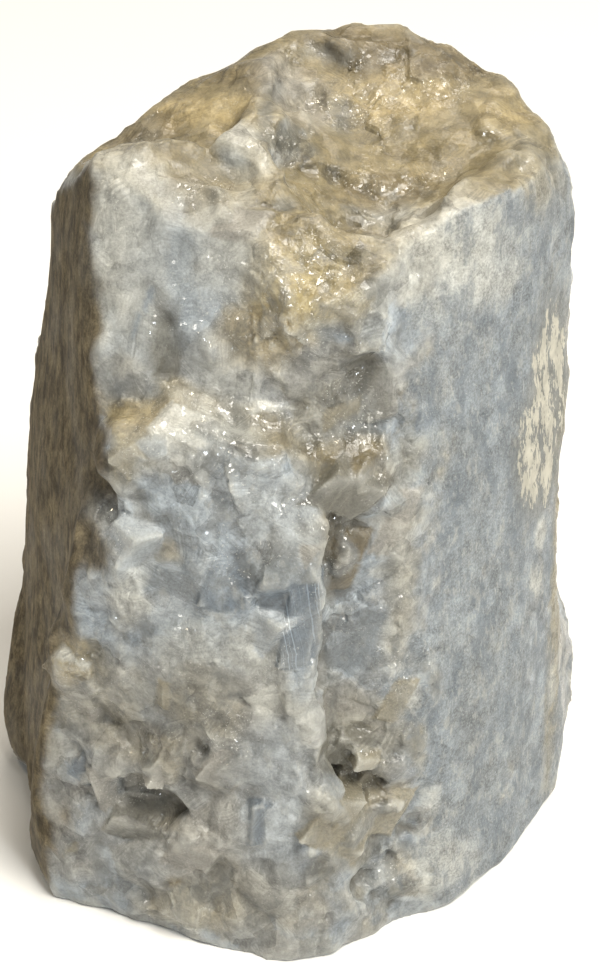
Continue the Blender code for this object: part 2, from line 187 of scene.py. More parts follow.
# Single fine crystals: pixel, edge lengths in mm, turn in degrees, how far each stands out, and colour
FINE_CRYSTALS = {
    "left edge crystal": ((110, 545), (7, 6, 12), (4, 12, -50), 0.4, "pale blue"),
    "smoky prism": ((213, 588), (4, 5, 8), (5, 8, 20), 0.45, "deep blue"),
    "blue prism": ((238, 578), (4.5, 5, 13), (-6, 4, 35), 0.6, "deep blue"),
    "dark flat": ((180, 578), (9, 5, 5), (20, 5, -10), 0.7, "joint"),
    "flat edge": ((182, 611), (10, 6, 6), (15, 4, 5), 1.0, "pale blue"),
    "striated": ((308, 622), (6, 7, 17), (3, -4, 12), 0.8, "deep blue"),
    "dark right": ((280, 598), (8, 6, 11), (10, -20, 15), 0.6, "deep blue"),
    "grey middle": ((302, 556), (6, 5, 6), (12, 10, -25), 0.8, "grey"),
    "upper blue": ((228, 540), (5, 5, 9), (8, -12, 30), 0.7, "blue"),
    "milky prism": ((262, 644), (6, 6, 14), (12, 15, -35), 0.9, "pale blue"),
    "stair upper": ((362, 762), (5, 5, 3), (20, 10, 30), 1.1, "tan"),
    "stair middle": ((368, 776), (5, 5, 3), (20, 10, 30), 1.6, "tan"),
    "stair lower": ((374, 790), (5, 5, 3), (20, 10, 30), 2.1, "tan"),
    "polygon left": ((350, 712), (7, 5, 7), (30, 20, 10), 0.9, "grey"),
    "polygon right": ((380, 730), (7, 6, 8), (-15, 30, 40), 0.6, "grey"),
    "rounded lump": ((360, 478), (11, 8, 9), (25, 30, 15), 0.35, "smoke"),
    "smooth plate": ((350, 645), (10, 4, 16), (8, 3, 2), 1.2, "joint"),
    "brown plate": ((345, 545), (6.5, 4, 13), (8, 3, -6), 0.7, "brown"),
    "recess slab": ((340, 420), (6, 5, 8), (15, -10, 20), 0.8, "tan"),
    "lens": ((345, 310), (8, 6, 6), (35, 20, -10), 0.9, "tan"),
    "pocket flat": ((142, 815), (12, 6, 5), (35, 10, -8), 0.3, "smoke"),
    "dark squares": ((340, 750), (7, 6, 8), (25, 10, 20), 3.0, "smoke"),
    "pale lump": ((272, 700), (6, 5, 6), (30, 40, 20), 0.9, "frost"),
    "beige lump": ((340, 826), (9, 7, 11), (15, 25, 30), 0.5, "tan"),
    "trough foot": ((352, 858), (5, 5, 6), (30, 20, 10), 1.0, "tan"),
    "right edge crystal": ((398, 700), (4, 5, 9), (5, 15, 10), 1.0, "tan"),
    "right edge upper": ((402, 520), (4, 5, 13), (3, 10, 8), 0.5, "grey"),
    "right edge lower": ((404, 800), (5, 5, 10), (8, 18, 20), 1.2, "tan"),
    "blade": ((152, 765), (4, 5, 10), (8, 22, 30), 1.0, "grey"),
    "short blade": ((105, 785), (4, 5, 9), (5, -28, 15), 0.9, "grey"),
    "tan slab": ((165, 690), (8, 5, 6), (20, -15, 30), 0.8, "tan"),
    "front slab": ((225, 765), (8, 6, 9), (15, 20, 10), 0.9, "grey"),
    "clear foot": ((262, 822), (6, 5, 9), (10, -10, 25), 0.9, "deep blue"),
    "foot slab": ((195, 855), (9, 6, 7), (25, 10, -15), 0.9, "grey"),
    "foot left": ((85, 850), (7, 6, 8), (20, 25, 10), 0.9, "tan"),
    "left slab": ((85, 765), (5, 5, 9), (5, 20, -15), 0.8, "deep blue"),
    "left clear": ((95, 715), (6, 5, 7), (20, -20, 25), 0.8, "grey"),
    "ledge pale": ((175, 430), (9, 6, 8), (40, 20, -15), 0.5, "frost"),
    "ledge glint": ((128, 452), (6, 6, 6), (20, 40, 10), 0.6, "tan"),
    "ledge right": ((270, 405), (8, 6, 6), (30, 10, 15), 0.8, "frost"),
    "upper slab": ((150, 300), (7, 6, 10), (12, 8, 20), 0.6, "blue"),
    "upper clear": ((232, 240), (8, 6, 9), (15, -10, -20), 0.6, "grey"),
    "upper dark": ((166, 356), (5, 5, 9), (10, 15, 20), 0.2, "smoke"),
    "lip": ((300, 262), (9, 7, 5), (25, 15, 20), 0.8, "tan"),
    "golden point": ((66, 655), (6, 6, 8), (20, 25, -20), 1.2, "frost"),
    "bowl left": ((288, 142), (5, 4, 4), (25, 15, 30), 0.8, "smoke"),
    "bowl middle": ((344, 122), (5, 5, 4), (15, 30, 10), 0.8, "smoke"),
    "bowl front": ((380, 205), (8, 6, 4), (25, -10, 20), 0.7, "smoke"),
    "bowl right": ((432, 150), (8, 6, 4), (10, 20, 30), 0.6, "honey"),
}

# Places that stand out in colour: pixel, reach across and up in mm, palette colour and strength. The dark
# pits, pockets, gaps, clefts and hollows among them are partly painted shade, and a few pale raised places
# partly painted highlight
PLACES = {
    "lower front": ((200, 800), (24, 28), "grey", 0.6),
    "middle mass": ((205, 590), (24, 16), "blue", 0.55),
    # Painted shade, with part of a real stain: the back rim darkened brown
    "back rim": ((425, 55), (19, 5), "brown", 0.8),
    "back rim left": ((345, 38), (9, 3.4), "brown", 0.7),
    "cream top": ((395, 100), (11, 5), "cream", 0.7),
    "bowl": ((300, 110), (8, 7), "grey", 0.6),
    # The pits of the bowl: smoke, partly their own colour and partly painted shade
    "bowl pit left": ((285, 140), (2.6, 2.4), "smoke", 1.0),
    "bowl pit middle": ((312, 150), (2.2, 2.0), "smoke", 0.9),
    "bowl pit back": ((342, 120), (2.6, 4.4), "smoke", 0.7),
    "bowl pit round": ((285, 205), (2.0, 1.8), "smoke", 1.0),
    "bowl pit front": ((370, 215), (5.5, 2.6), "smoke", 0.7),
    "bowl golden": ((440, 155), (12, 5), "honey", 0.8),
    "bowl hollow": ((385, 190), (8, 4), "brown", 0.6),
    "bowl side": ((247, 160), (5, 5), "frost", 0.5),
    "crest": ((275, 75), (5, 6), "grey", 0.8),
    "crest pale": ((235, 132), (4, 4), "frost", 0.7),
    # The cleft in the crest: partly painted shade
    "crest cleft": ((266, 110), (1.4, 9), "smoke", 0.9),
    "cream band": ((195, 110), (11, 4), "cream", 0.9),
    "brown band": ((145, 136), (9, 5), "brown", 0.6),
    "band rim": ((240, 74), (8, 3), "brown", 0.6),
    "lip": ((350, 240), (22, 5), "honey", 0.6),
    # Partly frosted calcite, partly painted highlight: the shoulder that faces up towards the lamps is paler
    "bright shoulder": ((452, 252), (14, 11), "frost", 0.7),
    "right top edge": ((538, 162), (6, 9), "tan", 0.75),
    "left shoulder": ((125, 250), (9, 22), "frost", 0.75),
    "upper middle": ((185, 270), (10, 17), "pale blue", 0.6),
    # The scoop: partly painted shade
    "scoop": ((165, 350), (3.2, 7), "smoke", 0.8),
    "groove": ((180, 270), (2.2, 14), "blue", 0.5),
    "yellow patch": ((300, 290), (8, 8), "gold", 0.95),
    "yellow foot": ((262, 335), (8, 6), "cream", 0.7),
    "lens": ((345, 310), (4.4, 3.6), "tan", 0.6),
    "ledge pale": ((185, 425), (11, 6), "frost", 0.5),
    "ledge cream": ((150, 415), (7, 3), "cream", 0.6),
    "ledge back": ((235, 380), (6, 4), "frost", 0.45),
    "ledge blue": ((228, 445), (8, 8), "blue", 0.4),
    "ledge gold": ((122, 460), (3, 4), "gold", 0.6),
    "grey plate": ((100, 495), (4, 3), "smoke", 0.6),
    "left edge crystal": ((108, 550), (7, 11), "pale blue", 0.5),
    "gold spot": ((168, 552), (2.4, 2.4), "cream", 0.45),
    "blue prism": ((238, 578), (2.6, 7), "deep blue", 0.85),
    "milky prism": ((265, 644), (6, 6), "frost", 0.55),
    "left edge pale": ((130, 596), (3.6, 6), "frost", 0.8),
    "upper mass": ((230, 508), (5, 5), "pale blue", 0.8),
    "middle pale": ((200, 642), (8, 5), "frost", 0.35),
    "front brown": ((160, 703), (6, 7), "smoke", 0.5),
    "upper clear": ((230, 238), (7, 9), "frost", 0.45),
    "dark right": ((284, 602), (6, 7), "deep blue", 0.9),
    "striated": ((308, 630), (3.4, 9), "deep blue", 1.0),
    "bright break": ((290, 505), (6, 5), "pale blue", 0.7),
    "dark flat": ((180, 578), (5, 3), "deep blue", 0.25),
    # Painted shade: the recess under the overhang, darkened towards smoke
    "recess": ((345, 405), (9, 10), "smoke", 0.62),
    "lump": ((362, 470), (8, 6), "brown", 0.4),
    # Painted shadow: the crevice beside the pillar, darkened brown
    "gap": ((333, 530), (2, 8), "brown", 0.8),
    "brown plate": ((345, 545), (4, 8), "brown", 0.6),
    # Painted shadow: the wedge under the overhang, darkened to smoke
    "wedge": ((364, 368), (3.4, 3.2), "smoke", 1.0),
    "front pale": ((300, 718), (2.6, 7), "frost", 0.6),
    "foot cream right": ((402, 858), (3, 4), "cream", 0.4),
    # Painted light on the lower front: the ridge made paler as painted highlight, and the hollow beside it
    # darker as painted shade
    "front ridge": ((275, 805), (7, 18), "pale blue", 0.85),
    "front hollow": ((203, 740), (7, 12), "smoke", 0.45),
    "trough foot": ((360, 835), (8, 9), "tan", 0.6),
    "foot beige": ((185, 905), (9, 6), "tan", 0.5),
    "smooth plate": ((350, 645), (5.4, 7), "joint", 0.8),
    "polygons": ((365, 740), (8, 10), "tan", 0.6),
    "dark squares": ((332, 745), (2.6, 8), "smoke", 0.8),
    "stair": ((366, 785), (4.6, 6), "brown", 0.25),
    "beige lump": ((335, 825), (6, 7), "tan", 0.6),
    # The pockets at the foot: partly their colour, partly painted shade
    "foot pocket left": ((322, 868), (2.8, 2.8), "smoke", 0.9),
    "foot pocket middle": ((358, 860), (2.8, 2.2), "smoke", 0.9),
    "foot pocket right": ((400, 890), (3.4, 1.6), "smoke", 0.8),
    "front foot": ((250, 900), (18, 7), "tan", 0.4),
    "gold point": ((72, 658), (4.4, 5), "cream", 0.8),
    "left mass": ((90, 700), (10, 12), "tan", 0.5),
    "left foot": ((56, 765), (3, 8), "smoke", 0.5),
    # The lower pocket: partly its colour, partly painted shade
    "lower pocket": ((142, 800), (7.6, 4.4), "smoke", 0.35),
    "pale lump": ((273, 700), (3.8, 3.8), "frost", 0.9),
    "pillar foot": ((302, 682), (2.6, 4), "blue", 0.8),
    "front middle": ((215, 700), (9, 7), "tan", 0.5),
    "front tan": ((160, 760), (6, 6), "tan", 0.7),
    # The small hole: painted shade, brownish
    "small hole": ((175, 882), (2.0, 1.5), "brown", 0.9),
    "foot cream": ((72, 858), (7, 6), "grey", 0.7),
    "edge of the recess": ((395, 640), (2.6, 6), "frost", 0.3),
    "edge fleck one": ((404, 575), (1.6, 5), "frost", 0.6),
    "edge fleck two": ((412, 690), (2.0, 4), "frost", 0.6),
    "edge fleck three": ((420, 745), (1.8, 5), "tan", 0.7),
    "edge fleck four": ((408, 480), (2.0, 6), "pale blue", 0.3),
    "edge fleck five": ((428, 800), (2.4, 4), "frost", 0.5),
    "trough side": ((402, 560), (3.2, 22), "tan", 0.5),
    "trough cream": ((395, 800), (3, 4), "cream", 0.4),
    "top gold": ((500, 108), (8, 5), "cream", 0.5),
    "right rim": ((556, 600), (1.8, 50), "tan", 0.9),
    "right foot": ((445, 860), (8, 6), "frost", 0.6),
    "white patch upper": ((540, 535), (1.2, 4), "frost", 0.7),
    "white patch middle": ((537, 582), (1.4, 4), "frost", 0.7),
    "white patch lower": ((552, 680), (1.0, 6), "frost", 0.6),
}

# Where the chalky crust is left: pixel and reach
CRUST = {"upper": ((549, 395), (4.6, 21)), "lower": ((538, 450), (5.4, 13))}

# Places that are pushed a little: pixel, reach, and the way to the right and towards the viewer in mm
NUDGES = {
    "pillar top": ((304, 512), (7, 11), (2.6, 0)),
    "pillar foot": ((343, 705), (9, 17), (-4.5, 0)),
    "trough hole": ((350, 752), (4, 5), (0, 4.0)),
    "rim groove": ((485, 192), (11, 4), (0, 1.6)),
}

# Places whose breaks are smoother than the rest: pixel, reach and strength
SMOOTH_PLACES = {
    "upper front": ((165, 270), (15, 24), 0.75),
    "bowl": ((400, 130), (20, 10), 0.45),
    "top band": ((190, 105), (16, 6), 0.5),
    "lower front": ((270, 800), (9, 22), 0.4),
}

# Where the breaks are rounded lumps: pixel, reach and strength
LUMPY_PLACES = {
    "lower front": ((220, 830), (30, 26), 1.0),
    "left mass": ((90, 740), (12, 18), 0.8),
    "trough": ((365, 800), (11, 24), 0.8),
}

# Where small cleavage faces flash together: pixel and reach
GLINTS = {
    "yellow patch": ((300, 285), (7, 6)),
    "yellow foot": ((285, 345), (7, 5)),
    "bowl front": ((395, 180), (12, 3)),
    "bowl left": ((275, 150), (6, 5)),
    "bowl back": ((345, 110), (8, 4)),
    "top gold": ((430, 90), (9, 4)),
    "crest": ((205, 190), (5, 4)),
    "shoulder": ((118, 245), (4, 9)),
    "groove": ((225, 300), (6, 9)),
    "ledge": ((195, 430), (14, 7)),
    "upper mass": ((225, 480), (10, 5)),
    "trough edge": ((392, 660), (3, 9)),
    "ledge gold": ((126, 460), (4, 3.5)),
    "lump": ((350, 408), (6, 7)),
    "blue break": ((295, 510), (4.5, 5)),
    "left edge crystal": ((110, 530), (5, 5)),
    "prisms": ((250, 560), (7, 4)),
    "gap": ((335, 545), (3, 7)),
    "golden point": ((66, 655), (3.5, 6)),
    "stair": ((365, 780), (5, 6)),
    "front": ((225, 735), (7, 6)),
    "pocket": ((130, 790), (6, 4)),
    "foot": ((385, 870), (4, 4)),
}


class StoneSizes(bpy.types.PropertyGroup):
    """How the stone is broken and worn."""

    voxel: FloatProperty(
        name="Finest Form", description="Size of the smallest form that is carved",
        default=0.55 * MM, min=0.3 * MM, unit="LENGTH",
    )
    triangles: IntProperty(
        name="Triangles", description="How many triangles the finished stone has",
        default=190000, min=20000,
    )
    crystal: FloatProperty(
        name="Crystal Size", description="Size of the crystals that share one cleavage",
        default=13.0 * MM, min=MM, unit="LENGTH",
    )
    crystal_rise: FloatProperty(
        name="Crystal Rise", description="Height between neighbouring crystals",
        default=0.3 * MM, min=0.0, unit="LENGTH",
    )
    lump: FloatProperty(
        name="Lump Size", description="Size of the rounded lumps",
        default=9.5 * MM, min=MM, unit="LENGTH",
    )
    lump_depth: FloatProperty(
        name="Lump Depth", description="Depth of the seams between the lumps",
        default=3.0 * MM, min=0.0, unit="LENGTH",
    )
    grain: FloatProperty(
        name="Grain Size", description="Size of the flat breaks within one crystal",
        default=4.8 * MM, min=MM, unit="LENGTH",
    )
    chip: FloatProperty(
        name="Chip Size", description="Size of the small chips on the fractured faces",
        default=1.9 * MM, min=0.5 * MM, unit="LENGTH",
    )
    cleavage: FloatProperty(
        name="Cleavage", description="How far the breaks follow the cleavage planes",
        default=0.16, min=0.0, max=1.0, subtype="FACTOR",
    )
    rise: FloatProperty(
        name="Grain Rise", description="Height between neighbouring breaks",
        default=0.2 * MM, min=0.0, unit="LENGTH",
    )
    chip_depth: FloatProperty(
        name="Chip Depth", description="Depth of the small chips",
        default=0.1 * MM, min=0.0, unit="LENGTH",
    )
    step: FloatProperty(
        name="Step Width", description="Width of the fine cleavage steps in some crystals",
        default=1.5 * MM, min=0.3 * MM, unit="LENGTH",
    )
    step_depth: FloatProperty(
        name="Step Depth", description="Depth of the fine cleavage steps",
        default=0.25 * MM, min=0.0, unit="LENGTH",
    )
    frost: FloatProperty(
        name="Frost", description="Roughness of the frosted joint faces",
        default=0.12 * MM, min=0.0, unit="LENGTH",
    )
    seed: IntProperty(
        name="Seed", description="Which of the possible reliefs the stone gets",
        default=7, min=0,
    )


def palette(name, description, colour):
    """A colour that a user may change."""
    return FloatVectorProperty(
        name=name, description=description, default=colour, min=0.0, max=1.0, size=3, subtype="COLOR"
    )


class StoneColours(bpy.types.PropertyGroup):
    """The colours that the stone is stained and grown in, some of them also used as painted shade."""

    blue: palette("Blue", "The clean blue-grey calcite", (0.288, 0.326, 0.36))
    grey: palette("Grey", "The neutral grey calcite", (0.305, 0.293, 0.262))
    deep_blue: palette("Deep Blue", "The clear, darker blue crystals", (0.13, 0.157, 0.186))
    pale_blue: palette("Pale Blue", "Milky blue-white crystals", (0.365, 0.395, 0.415))
    frost: palette("Frost", "Bruised and frosted calcite", (0.50, 0.50, 0.46))
    cream: palette("Cream", "Creamy stain", (0.36, 0.292, 0.16))
    gold: palette("Gold", "Golden stain", (0.33, 0.27, 0.135))
    honey: palette("Honey", "The warm top", (0.205, 0.168, 0.09))
    joint: palette("Joint", "The frosted right joint face", (0.192, 0.214, 0.23))
    tan: palette("Tan", "Brownish grey calcite", (0.262, 0.238, 0.175))
    # Brown is a real stain, and also painted shade in the gap, the small hole and on the back rim
    brown: palette("Brown", "Brown stain in hollows", (0.14, 0.112, 0.064))
    # Smoke is the colour of the clear smoky crystals, and also painted shade in the dark pits, pockets, gaps
    # and clefts
    smoke: palette("Smoke", "Dark pockets and clear smoky crystals", (0.15, 0.145, 0.12))
    # Weathered: the left face's brown skin, partly real weathering and partly painted shade for the face
    # lying in shade
    weathered: palette("Weathered", "The brown skin of the left joint face", (0.073, 0.053, 0.026))
    crust: palette("Crust", "The chalky crust on the right joint face", (0.49, 0.47, 0.395))
    floor: palette("Floor", "The floor that the stone stands on", (0.88, 0.88, 0.87))


def add(tree, kind, sockets=None, **settings):
    """Adds a node with its settings, and sets or links its inputs."""
    made = tree.nodes.new(kind)
    row, column = divmod(len(tree.nodes), NODES_IN_A_ROW)
    made.location = (column * NODE_WIDTH, -row * NODE_HEIGHT)
    for name, value in settings.items():
        setattr(made, name, value)
    for name, value in (sockets or {}).items():
        if isinstance(value, bpy.types.NodeSocket):
            tree.links.new(value, made.inputs[name])
        else:
            made.inputs[name].default_value = value
    return made


def calc(tree, operation, *values, clamp=False):
    """A Math node's result."""
    made = add(tree, "ShaderNodeMath", dict(enumerate(values)), operation=operation, use_clamp=clamp)
    return made.outputs[0]


def product(tree, *values):
    return reduce(lambda whole, value: calc(tree, "MULTIPLY", whole, value), values)


def total(tree, *values):
    return reduce(lambda whole, value: calc(tree, "ADD", whole, value), values)


def opposite(tree, value):
    """1 less the value."""
    return calc(tree, "SUBTRACT", 1.0, value)


def arrow(tree, operation, *values):
    """A Vector Math node's vector result."""
    made = add(tree, "ShaderNodeVectorMath", dict(enumerate(values)), operation=operation)
    return made.outputs["Vector"]


def scaled(tree, vector, factor):
    """The vector, or the colour, times a value."""
    made = add(tree, "ShaderNodeVectorMath", {0: vector, "Scale": factor}, operation="SCALE")
    return made.outputs["Vector"]


def centred(tree, colour):
    """A random colour as a direction around nought."""
    return arrow(tree, "SUBTRACT", colour, (0.5, 0.5, 0.5))


def stretched(tree, place, upward):
    """The place with its height scaled, so that a pattern on it is drawn out up and down."""
    return arrow(tree, "MULTIPLY", place, (1.0, 1.0, upward))


def dot(tree, first, second):
    made = add(tree, "ShaderNodeVectorMath", {0: first, 1: second}, operation="DOT_PRODUCT")
    return made.outputs["Value"]


def parts(tree, vector):
    """The X, Y and Z of a vector."""
    return add(tree, "ShaderNodeSeparateXYZ", {0: vector}).outputs


def ramp(tree, value, low, high, start=0.0, end=1.0):
    """The value, taken smoothly from start to end as it goes from low to high."""
    sockets = {"Value": value, "From Min": low, "From Max": high, "To Min": start, "To Max": end}
    return add(tree, "ShaderNodeMapRange", sockets, interpolation_type="SMOOTHSTEP").outputs["Result"]


def spread(tree, value, start, end):
    """A value from 0 to 1, taken smoothly to the stretch from start to end."""
    return ramp(tree, value, 0.0, 1.0, start, end)


def mix(tree, kind, factor, under, over):
    """A Mix node's result for one kind of value."""
    first, second, result = MIX_SOCKETS[kind]
    made = add(tree, "ShaderNodeMix", {"Factor": factor, first: under, second: over}, data_type=kind)
    return made.outputs[result]


def mix_colour(tree, factor, under, over):
    """One colour over another. Each is a socket or a plain colour."""
    pair = [value if isinstance(value, bpy.types.NodeSocket) else (*value, 1.0) for value in (under, over)]
    return mix(tree, "RGBA", factor, *pair)


def voronoi(tree, vector, size):
    """Cells of a size in metres, or of a size given by a socket."""
    scale = 1.0 / size if isinstance(size, float) else calc(tree, "DIVIDE", 1.0, size)
    return add(tree, "ShaderNodeTexVoronoi", {"Vector": vector, "Scale": scale}, voronoi_dimensions="3D")


def noise_node(tree, vector, size, detail, roughness, distortion=0.0):
    sockets = {
        "Vector": vector, "Scale": 1.0 / size, "Detail": detail,
        "Roughness": roughness, "Distortion": distortion,
    }
    return add(tree, "ShaderNodeTexNoise", sockets, noise_dimensions="3D").outputs


def mottle(tree, *settings):
    """Soft noise from 0 to 1: its place, size in metres, detail and roughness."""
    return noise_node(tree, *settings)[0]


def lines_across(tree, place, direction, spacing):
    """Fine uneven lines that lie across a direction, from 0 to 1."""
    walk = calc(tree, "DIVIDE", dot(tree, place, direction), spacing)
    sockets = {"W": walk, "Detail": 2.0, "Scale": 1.0}
    return add(tree, "ShaderNodeTexNoise", sockets, noise_dimensions="1D").outputs[0]


def cleavage_edges():
    """The three edge directions of a calcite rhomb, as the columns of a matrix."""
    lean = cos(RHOMB_ANGLE)
    second = Vector((lean, sin(RHOMB_ANGLE), 0))
    across = (lean - lean * lean) / sin(RHOMB_ANGLE)
    third = Vector((lean, across, (1 - lean * lean - across * across) ** 0.5))
    return Matrix((Vector((1, 0, 0)), second, third)).transposed()


def cleavage_normals():
    """The directions that a calcite rhomb's three pairs of faces look in."""
    edges = cleavage_edges()
    pairs = ((1, 2), (2, 0), (0, 1))
    return [edges.col[a].cross(edges.col[b]).normalized() for a, b in pairs]


def relief_inputs(tree):
    """The named sizes that the relief is made from."""
    sockets = {"Geometry": "Geometry"}
    sockets.update(dict.fromkeys(RELIEF_SIZES, "Float"))
    sockets.update({"Seed": "Int", "Material": "Material"})
    for name, kind in sockets.items():
        tree.interface.new_socket(name=name, in_out="INPUT", socket_type="NodeSocket" + kind)
    tree.interface.new_socket(name="Geometry", in_out="OUTPUT", socket_type="NodeSocketGeometry")


def blurred(tree, value, kind, rounds):
    """A value or vector of the mesh, averaged with its neighbours so many times."""
    made = add(tree, "GeometryNodeBlurAttribute", {"Iterations": rounds}, data_type=kind)
    tree.links.new(value, [entry for entry in made.inputs if entry.enabled][0])
    return [entry for entry in made.outputs if entry.enabled][0]


def own(tree, name):
    """One of the stone's own attributes, read by the relief."""
    return add(tree, "GeometryNodeInputNamedAttribute", {"Name": name}, data_type="FLOAT").outputs[0]


def warped(tree, place):
    """The place, moved a little by soft noise, so that no grain's edge is straight."""
    drift = noise_node(tree, place, WARP_SIZE, 2.0, 0.5)["Color"]
    return arrow(tree, "ADD", place, scaled(tree, centred(tree, drift), WARP_REACH))


def how_broken(tree, place, facing):
    """Near 0 on the joint faces, and 1 where the stone is fractured."""
    ragged = calc(tree, "SUBTRACT", mottle(tree, place, BORDER_SIZE, 6.0, 0.7), 0.5)
    drift = scaled(tree, add(tree, "ShaderNodeCombineXYZ", {0: ragged, 1: ragged}).outputs[0], BORDER_REACH)
    axes = parts(tree, arrow(tree, "ADD", place, drift))
    left, right = [
        ramp(tree, total(tree, dot(tree, facing, joint), ragged), 0.78, 0.92)
        for joint in (LEFT_JOINT, RIGHT_JOINT)
    ]
    after = ramp(tree, axes["X"], FRONT_LEFT_EDGE - 2 * MM, FRONT_LEFT_EDGE + 2 * MM)
    before = ramp(tree, axes["X"], FRONT_RIGHT_EDGE - 3 * MM, FRONT_RIGHT_EDGE + 5 * MM, 1.0, 0.0)
    ahead = ramp(tree, axes["Y"], FRONT_BACK - 3 * MM, FRONT_BACK + 3 * MM, 1.0, 0.0)
    front = product(tree, after, before, ahead)
    return opposite(tree, product(tree, calc(tree, "MAXIMUM", left, right), opposite(tree, front)))


def chosen_plane(tree, facing, turn):
    """The cleavage plane of a crystal that lies nearest to the surface."""
    best = None
    for normal in cleavage_normals():
        sockets = {"Vector": normal, "Rotation": turn}
        turned = add(tree, "ShaderNodeVectorRotate", sockets, rotation_type="EULER_XYZ").outputs["Vector"]
        slope = dot(tree, turned, facing)
        size = calc(tree, "ABSOLUTE", slope)
        if best is None:
            best = (turned, slope, size)
            continue
        nearer = calc(tree, "GREATER_THAN", size, best[2])
        best = (
            mix(tree, "VECTOR", nearer, best[0], turned),
            mix(tree, "FLOAT", nearer, best[1], slope),
            calc(tree, "MAXIMUM", size, best[2]),
        )
    return scaled(tree, best[0], calc(tree, "DIVIDE", 1.0, best[1]))


def store(tree, geometry, values):
    """Keeps values on the mesh, each under its name. The values are numbers or vectors."""
    for name, value in values.items():
        kind = "FLOAT_VECTOR" if value.type in ("VECTOR", "RGBA") else "FLOAT"
        sockets = {"Geometry": geometry, "Name": name}
        made = add(tree, "GeometryNodeStoreNamedAttribute", sockets, data_type=kind, domain="POINT")
        tree.links.new(value, made.inputs["Value"])
        geometry = made.outputs["Geometry"]
    return geometry


def grain_height(tree, given, facing, plane, grain, reach, shatter):
    """The flat breaks within a crystal: each slants along its cleavage and has a height of its own."""
    along = arrow(tree, "SUBTRACT", reach, scaled(tree, facing, dot(tree, reach, facing)))
    limit = product(tree, given["Grain Size"], SLANT_LIMIT)
    slant = product(tree, dot(tree, along, plane), given["Cleavage"])
    slant = calc(tree, "MAXIMUM", calc(tree, "MINIMUM", slant, limit), product(tree, limit, -1.0))
    level = parts(tree, grain.outputs["Color"])["X"]
    lift = product(tree, calc(tree, "SUBTRACT", level, 0.5), given["Grain Rise"], shatter)
    return slant, lift


def chip_height(tree, given, place, shatter):
    """The small chips: each is a flat face that leans its own way."""
    chip = voronoi(tree, place, given["Chip Size"])
    reach = arrow(tree, "SUBTRACT", place, chip.outputs["Position"])
    reach = scaled(tree, reach, calc(tree, "DIVIDE", 1.0, given["Chip Size"]))
    lean = centred(tree, chip.outputs["Color"])
    return product(tree, dot(tree, reach, lean), product(tree, given["Chip Depth"], 2.0, shatter))


def step_height(tree, given, place, plane, chance):
    """The fine steps that some of the crystals have along their cleavage."""
    across = arrow(tree, "CROSS_PRODUCT", plane, STEP_SKEW)
    ways = (arrow(tree, "NORMALIZE", plane), across)
    walk = total(tree, *[calc(tree, "DIVIDE", dot(tree, place, way), given["Step Width"]) for way in ways])
    tooth = calc(tree, "SUBTRACT", calc(tree, "FRACT", walk), 0.5)
    return product(tree, tooth, ramp(tree, chance, 0.55, 0.65), given["Step Depth"])


def frost_height(tree, given, place):
    """The frosted skin of the joint faces, with streaks that run up and down."""
    frost = calc(tree, "SUBTRACT", mottle(tree, place, FROST_SIZE, 3.0, 0.7), 0.5)
    streaks = mottle(tree, stretched(tree, place, 0.26), STREAK_SIZE, 2.0, 0.6)
    streaks = calc(tree, "SUBTRACT", streaks, 0.5)
    return product(tree, total(tree, frost, streaks), product(tree, given["Frost"], 2.0))


